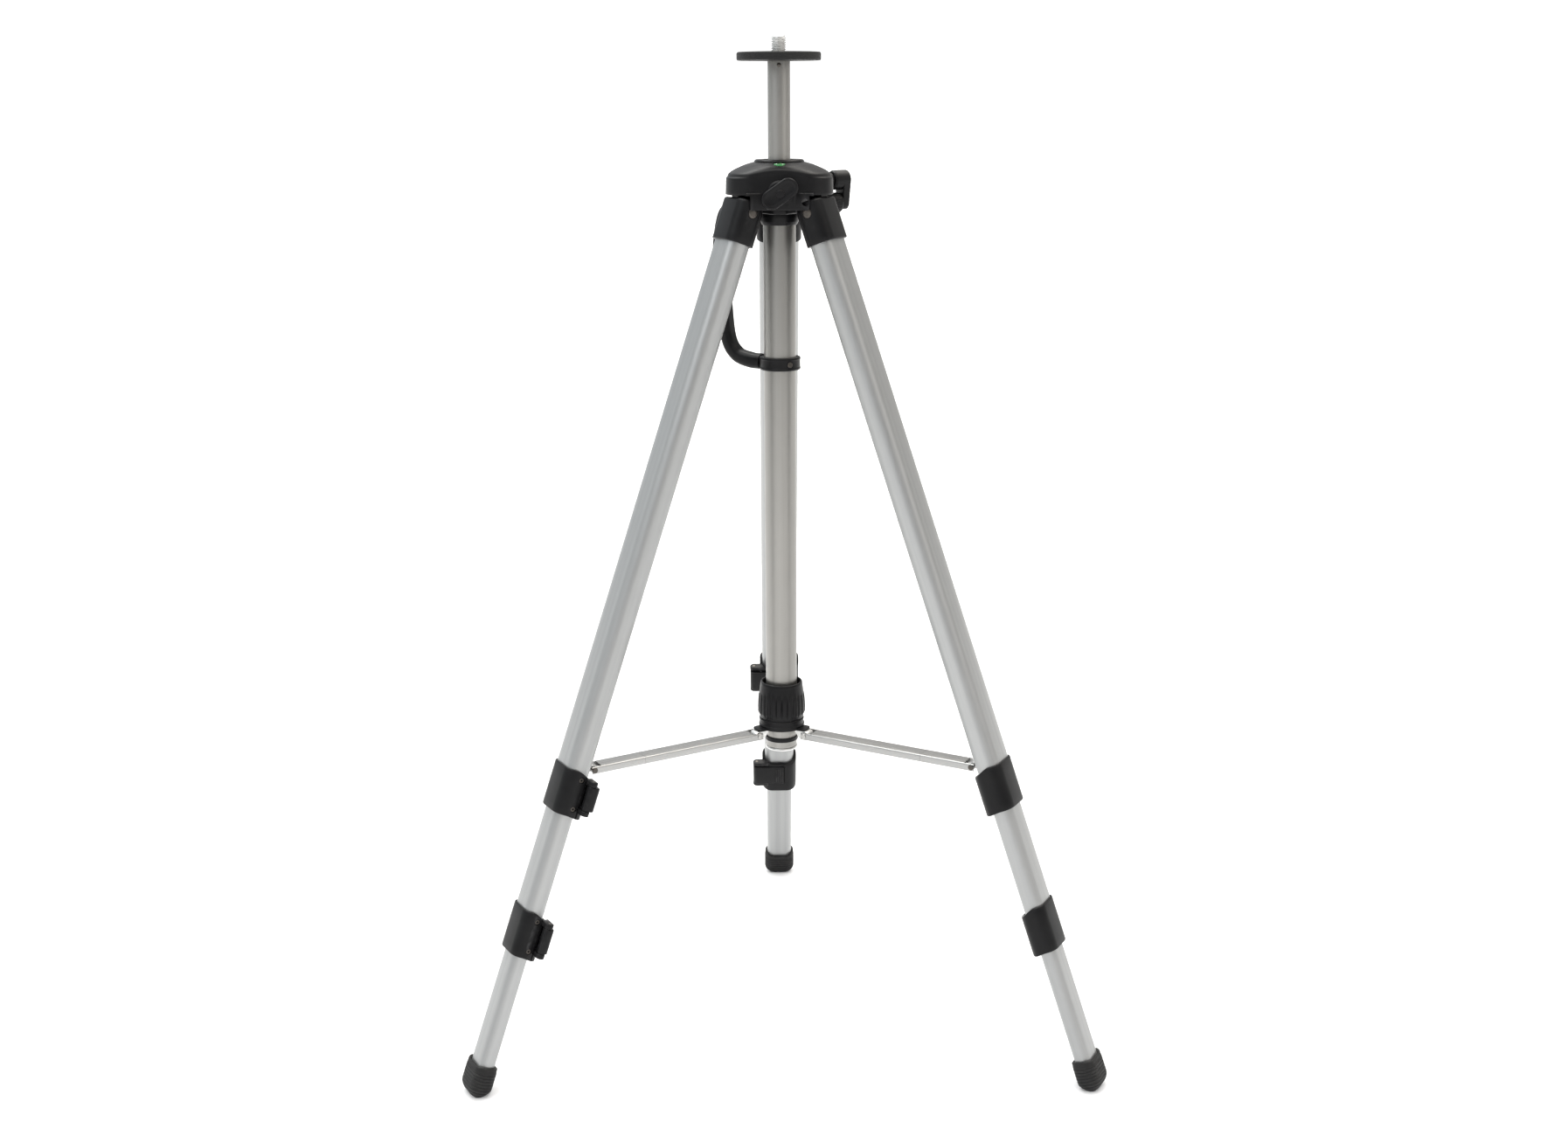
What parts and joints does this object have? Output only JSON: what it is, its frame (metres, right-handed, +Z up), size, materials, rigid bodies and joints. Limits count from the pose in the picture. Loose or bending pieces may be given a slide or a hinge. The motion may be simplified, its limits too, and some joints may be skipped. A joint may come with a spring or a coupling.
{
  "type": "surveyor tripod",
  "caption": "Aluminium elevating tripod for a survey laser: cranked centre column, flat instrument plate with screw, telescopic flip-lock legs and a folding spreader.",
  "frame": {"origin": "centre of the footprint box on the ground, feet resting on z = 0; the column axis stands 96.4 mm towards -Y of it", "axes": "+Z up along the column, -Y the front with the lock knob between two legs, +Y the side of the rear leg, +X to the right seen from the front"},
  "size_m": [0.7256, 0.6314, 1.129],
  "materials": {
    "anodised": "satin natural anodised tube",
    "bright_metal": "bright mill-finish aluminium",
    "steel": "plain steel",
    "black_plastic": "black moulded nylon with a fine grain",
    "rubber": "matt black rubber",
    "vial": "clear green level vial"
  },
  "bodies": {
    "stand": {"head_body": "black_plastic", "head_bush": "black_plastic", "level_housing": "black_plastic", "level_vial": "vial", "centre_tube": "anodised", "tube_collar": "black_plastic", "tube_end_ring": "bright_metal", "carrying_handle": "black_plastic", "handle_ring": "black_plastic", "left_leg_pivot_pin": "steel", "right_leg_pivot_pin": "steel", "rear_leg_pivot_pin": "steel"},
    "column": {"column_tube": "anodised", "column_rack": "steel", "column_end_stop": "black_plastic", "platform_plate": "black_plastic", "instrument_screw": "bright_metal"},
    "crank": {"crank_shaft": "steel", "crank_arm": "black_plastic"},
    "crank_grip": {"crank_grip": "black_plastic"},
    "column_lock": {"lock_knob": "black_plastic", "lock_screw": "steel"},
    "hub": {"spreader_hub": "black_plastic"},
    "nut": {"twist_nut": "black_plastic"},
    "left_leg": {"left_leg_socket": "black_plastic", "left_upper_tube": "anodised", "left_strut_bracket": "bright_metal", "left_upper_lock_collar": "black_plastic"},
    "left_middle": {"left_middle_tube": "anodised", "left_lower_lock_collar": "black_plastic"},
    "left_lower": {"left_lower_tube": "anodised", "left_foot": "rubber"},
    "left_upper_lever": {"left_upper_lock_lever": "black_plastic"},
    "left_lower_lever": {"left_lower_lock_lever": "black_plastic"},
    "left_strut": {"left_strut": "bright_metal"},
    "left_tie": {"left_strut_tie": "bright_metal"},
    "right_leg": {"right_leg_socket": "black_plastic", "right_upper_tube": "anodised", "right_strut_bracket": "bright_metal", "right_upper_lock_collar": "black_plastic"},
    "right_middle": {"right_middle_tube": "anodised", "right_lower_lock_collar": "black_plastic"},
    "right_lower": {"right_lower_tube": "anodised", "right_foot": "rubber"},
    "right_upper_lever": {"right_upper_lock_lever": "black_plastic"},
    "right_lower_lever": {"right_lower_lock_lever": "black_plastic"},
    "right_strut": {"right_strut": "bright_metal"},
    "right_tie": {"right_strut_tie": "bright_metal"},
    "rear_leg": {"rear_leg_socket": "black_plastic", "rear_upper_tube": "anodised", "rear_strut_bracket": "bright_metal", "rear_upper_lock_collar": "black_plastic"},
    "rear_middle": {"rear_middle_tube": "anodised", "rear_lower_lock_collar": "black_plastic"},
    "rear_lower": {"rear_lower_tube": "anodised", "rear_foot": "rubber"},
    "rear_upper_lever": {"rear_upper_lock_lever": "black_plastic"},
    "rear_lower_lever": {"rear_lower_lock_lever": "black_plastic"},
    "rear_strut": {"rear_strut": "bright_metal"},
    "rear_tie": {"rear_strut_tie": "bright_metal"}
  },
  "joints": [
    {"name": "column_lift", "type": "slide", "parent": "stand", "child": "column", "axis": [0, 0, 1], "range_m": [-0.098, 0.3]},
    {"name": "crank_turn", "type": "hinge", "parent": "stand", "child": "crank", "pos_m": [-0.01178, -0.07603, 0.976], "axis": [0.866, 0.5, 0], "range_deg": [-1912, 626]},
    {"name": "crank_grip_spin", "type": "hinge", "parent": "crank", "child": "crank_grip", "pos_m": [0.0679, -0.03003, 0.951], "axis": [0.866, 0.5, 0], "continuous": true},
    {"name": "column_lock_turn", "type": "hinge", "parent": "stand", "child": "column_lock", "pos_m": [0, -0.14493, 0.967], "axis": [0, -1, 0], "range_deg": [-20, 340]},
    {"name": "hub_slide", "type": "slide", "parent": "stand", "child": "hub", "axis": [0, 0, 1], "range_m": [0, 0.1862]},
    {"name": "nut_turn", "type": "hinge", "parent": "hub", "child": "nut", "pos_m": [0, -0.09643, 0.39], "axis": [0, 0, 1], "range_deg": [0, 120]},
    {"name": "left_leg_fold", "type": "hinge", "parent": "stand", "child": "left_leg", "pos_m": [-0.04088, -0.12003, 0.946], "axis": [0.5, -0.866, 0], "range_deg": [0, 18.33]},
    {"name": "right_leg_fold", "type": "hinge", "parent": "stand", "child": "right_leg", "pos_m": [0.04088, -0.12003, 0.946], "axis": [0.5, 0.866, 0], "range_deg": [0, 18.33]},
    {"name": "rear_leg_fold", "type": "hinge", "parent": "stand", "child": "rear_leg", "pos_m": [0, -0.04923, 0.946], "axis": [-1, 0, 0], "range_deg": [0, 18.33]},
    {"name": "left_strut_swing", "type": "hinge", "parent": "hub", "child": "left_strut", "pos_m": [-0.02944, -0.11343, 0.352], "axis": [0.5, -0.866, 0], "range_deg": [0, 86.45]},
    {"name": "left_tie_swing", "type": "hinge", "parent": "left_leg", "child": "left_tie", "pos_m": [-0.21115, -0.21834, 0.352], "axis": [0.5, -0.866, 0], "range_deg": [0, 68.12]},
    {"name": "right_strut_swing", "type": "hinge", "parent": "hub", "child": "right_strut", "pos_m": [0.02944, -0.11343, 0.352], "axis": [0.5, 0.866, 0], "range_deg": [0, 86.45]},
    {"name": "right_tie_swing", "type": "hinge", "parent": "right_leg", "child": "right_tie", "pos_m": [0.21115, -0.21834, 0.352], "axis": [0.5, 0.866, 0], "range_deg": [0, 68.12]},
    {"name": "rear_strut_swing", "type": "hinge", "parent": "hub", "child": "rear_strut", "pos_m": [0, -0.06243, 0.352], "axis": [-1, 0, 0], "range_deg": [0, 86.45]},
    {"name": "rear_tie_swing", "type": "hinge", "parent": "rear_leg", "child": "rear_tie", "pos_m": [0, 0.14739, 0.352], "axis": [-1, 0, 0], "range_deg": [0, 68.12]},
    {"name": "left_middle_slide", "type": "slide", "parent": "left_leg", "child": "left_middle", "axis": [-0.3009, -0.1737, -0.9377], "range_m": [-0.11, 0.32]},
    {"name": "left_lower_slide", "type": "slide", "parent": "left_middle", "child": "left_lower", "axis": [-0.3009, -0.1737, -0.9377], "range_m": [-0.124, 0.32]},
    {"name": "left_upper_lever_open", "type": "hinge", "parent": "left_leg", "child": "left_upper_lever", "pos_m": [-0.21201, -0.25694, 0.3267], "axis": [-0.3009, -0.1737, -0.9377], "range_deg": [0, 100]},
    {"name": "left_lower_lever_open", "type": "hinge", "parent": "left_middle", "child": "left_lower_lever", "pos_m": [-0.2626, -0.28326, 0.17291], "axis": [-0.3009, -0.1737, -0.9377], "range_deg": [0, 100]},
    {"name": "right_middle_slide", "type": "slide", "parent": "right_leg", "child": "right_middle", "axis": [0.3009, -0.1737, -0.9377], "range_m": [-0.11, 0.32]},
    {"name": "right_lower_slide", "type": "slide", "parent": "right_middle", "child": "right_lower", "axis": [0.3009, -0.1737, -0.9377], "range_m": [-0.124, 0.32]},
    {"name": "right_upper_lever_open", "type": "hinge", "parent": "right_leg", "child": "right_upper_lever", "pos_m": [0.24501, -0.19978, 0.3267], "axis": [0.3009, -0.1737, -0.9377], "range_deg": [0, 100]},
    {"name": "right_lower_lever_open", "type": "hinge", "parent": "right_middle", "child": "right_lower_lever", "pos_m": [0.2931, -0.23043, 0.17291], "axis": [0.3009, -0.1737, -0.9377], "range_deg": [0, 100]},
    {"name": "rear_middle_slide", "type": "slide", "parent": "rear_leg", "child": "rear_middle", "axis": [0, 0.3474, -0.9377], "range_m": [-0.11, 0.32]},
    {"name": "rear_lower_slide", "type": "slide", "parent": "rear_middle", "child": "rear_lower", "axis": [0, 0.3474, -0.9377], "range_m": [-0.124, 0.32]},
    {"name": "rear_upper_lever_open", "type": "hinge", "parent": "rear_leg", "child": "rear_upper_lever", "pos_m": [-0.033, 0.16743, 0.3267], "axis": [0, 0.3474, -0.9377], "range_deg": [0, 100]},
    {"name": "rear_lower_lever_open", "type": "hinge", "parent": "rear_middle", "child": "rear_lower_lever", "pos_m": [-0.0305, 0.22441, 0.17291], "axis": [0, 0.3474, -0.9377], "range_deg": [0, 100]}
  ],
  "couplings": [
    {"joint": "crank_turn", "follows": "column_lift", "rad_per_m": -111.11},
    {"joint": "right_leg_fold", "follows": "left_leg_fold", "ratio": 1},
    {"joint": "rear_leg_fold", "follows": "left_leg_fold", "ratio": 1},
    {"joint": "left_strut_swing", "follows": "left_leg_fold", "ratio": 4.7156},
    {"joint": "left_tie_swing", "follows": "left_leg_fold", "ratio": 3.7156},
    {"joint": "right_strut_swing", "follows": "left_leg_fold", "ratio": 4.7156},
    {"joint": "right_tie_swing", "follows": "left_leg_fold", "ratio": 3.7156},
    {"joint": "rear_strut_swing", "follows": "left_leg_fold", "ratio": 4.7156},
    {"joint": "rear_tie_swing", "follows": "left_leg_fold", "ratio": 3.7156},
    {"joint": "hub_slide", "follows": "left_leg_fold", "m_per_rad": 0.58052}
  ]
}
